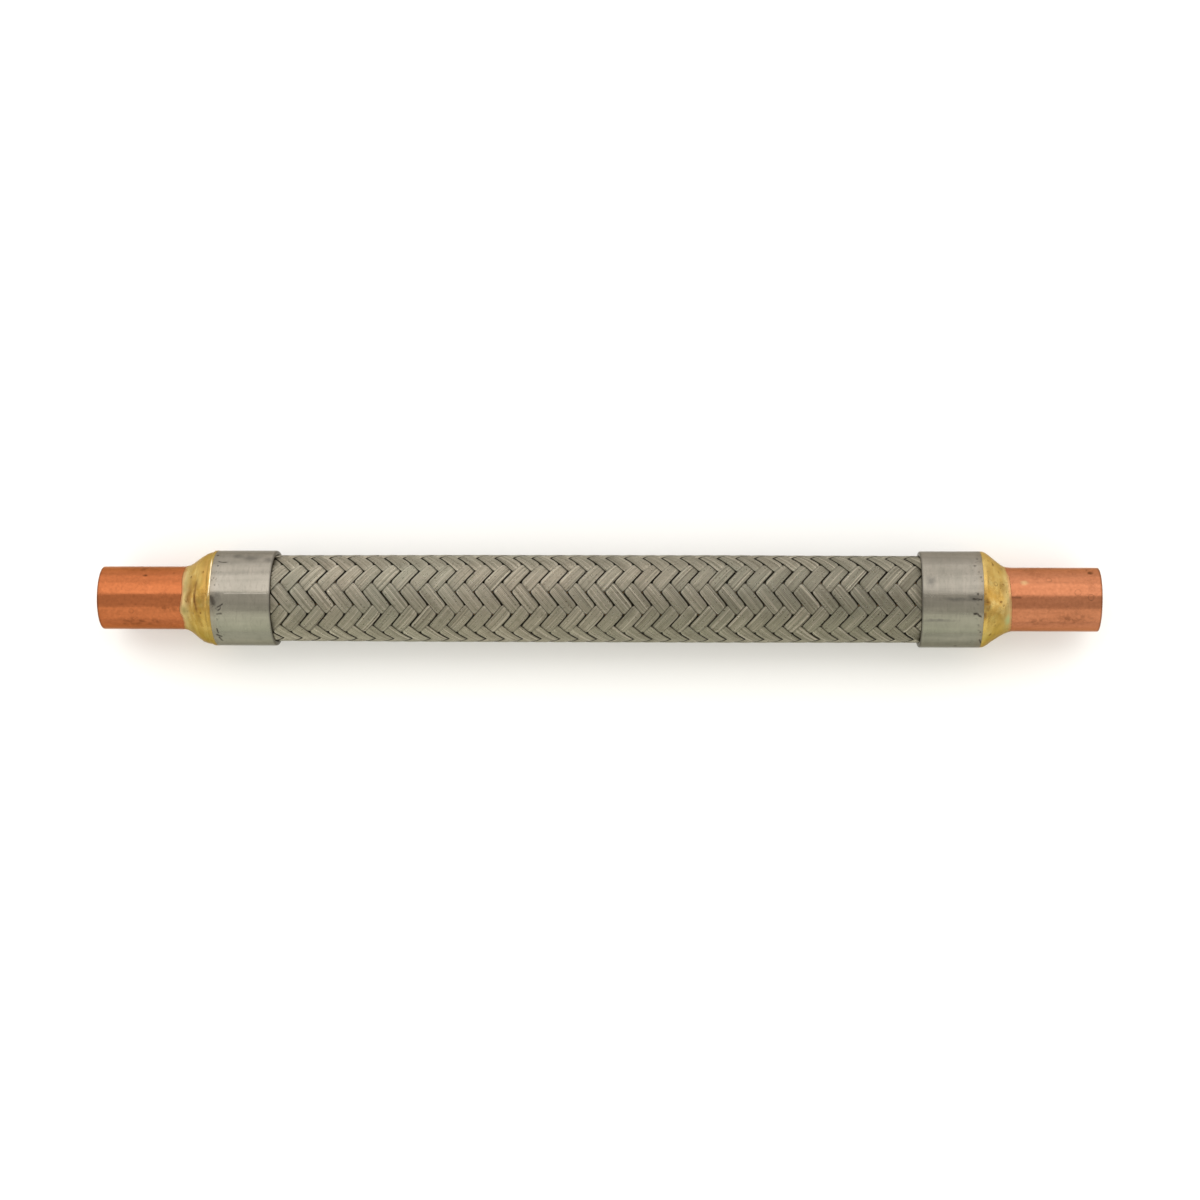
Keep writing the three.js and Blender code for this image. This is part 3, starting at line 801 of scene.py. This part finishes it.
for tag, side in (("left", -1), ("right", 1)):
    copper_end(tag, side)
    braze_fillet(tag, side)
    ferrule(tag, side)
hose()
braid()

# ---------------------------------------------------------------- floor, light, camera

floor_z = size_at_load[0][2] - 0.00002
fl = add_mesh("floor", np.array([(-3000, -3000, 0), (3000, -3000, 0), (3000, 3000, 0), (-3000, 3000, 0)]), [(0, 1, 2, 3)], smooth=False)
fl.location.z = floor_z
fl.data.materials.append(floor_material("floor_pale"))


def soft_box(name, angle, distance, width, length, power, tint=(1, 1, 1)):
    """A long soft light across the object. angle is from straight up toward the picture's top, in degrees."""
    data = bpy.data.lights.new(name, "AREA")
    data.shape = "RECTANGLE"
    data.size, data.size_y = length, width
    data.energy = power
    data.color = tint
    ob = bpy.data.objects.new(name, data)
    bpy.context.scene.collection.objects.link(ob)
    t = math.radians(angle)
    ob.location = (0, distance * math.sin(t), distance * math.cos(t))
    ob.rotation_euler = (-t, 0, 0)
    return ob


def radiance_power(radiance, width, length):
    """The power in watts of a rectangular light whose face has this radiance."""
    return radiance * math.pi * width * length


LEVEL = 2.0
for name, lo, hi, radiance, tint in (
    ("key_box", 14.5, 61, 0.62, (1, 1, 1)),
    ("key_wide", 63, 92, 0.40, (1, 1, 1)),
    ("fill_box", -34, -88, 0.29, (0.98, 1.0, 0.9)),
):
    mid, span = (lo + hi) / 2, abs(hi - lo)
    d = 1.1
    w = 2 * d * math.tan(math.radians(span / 2))
    soft_box(name, mid, d, w, 2.6, radiance_power(LEVEL * radiance, w, 2.6), tint)

for name, way in (("end_box_left", -1), ("end_box_right", 1)):
    data = bpy.data.lights.new(name, "AREA")
    data.shape = "RECTANGLE"
    data.size, data.size_y = 0.9, 0.9
    data.energy = radiance_power(LEVEL * 0.36, 0.9, 0.9)
    ob = bpy.data.objects.new(name, data)
    bpy.context.scene.collection.objects.link(ob)
    ob.location = (way * 1.5, 0.1, 0.5)
    ob.rotation_euler = (0, way * math.radians(72), 0)

world = bpy.data.worlds.new("studio")
bpy.context.scene.world = world
world.use_nodes = True
world.node_tree.nodes["Background"].inputs[0].default_value = (1.0, 0.97, 0.91, 1)
world.node_tree.nodes["Background"].inputs[1].default_value = 0.49 * LEVEL

cam_data = bpy.data.cameras.new("camera")
cam_data.sensor_width = 36
cam_data.lens = 36 * FAR / (1200 * MM_PER_PX)
cam_data.clip_start, cam_data.clip_end = 0.02, 20
cam = bpy.data.objects.new("camera", cam_data)
bpy.context.scene.collection.objects.link(cam)
cam.location = CAM * MM
cam.rotation_euler = Matrix((CAM_RIGHT, CAM_UP, CAM_BACK)).transposed().to_euler()
bpy.context.scene.camera = cam
bpy.context.scene.view_settings.view_transform = "Standard"
bpy.context.scene.view_settings.look = "None"
bpy.context.scene.view_settings.exposure = 0.0
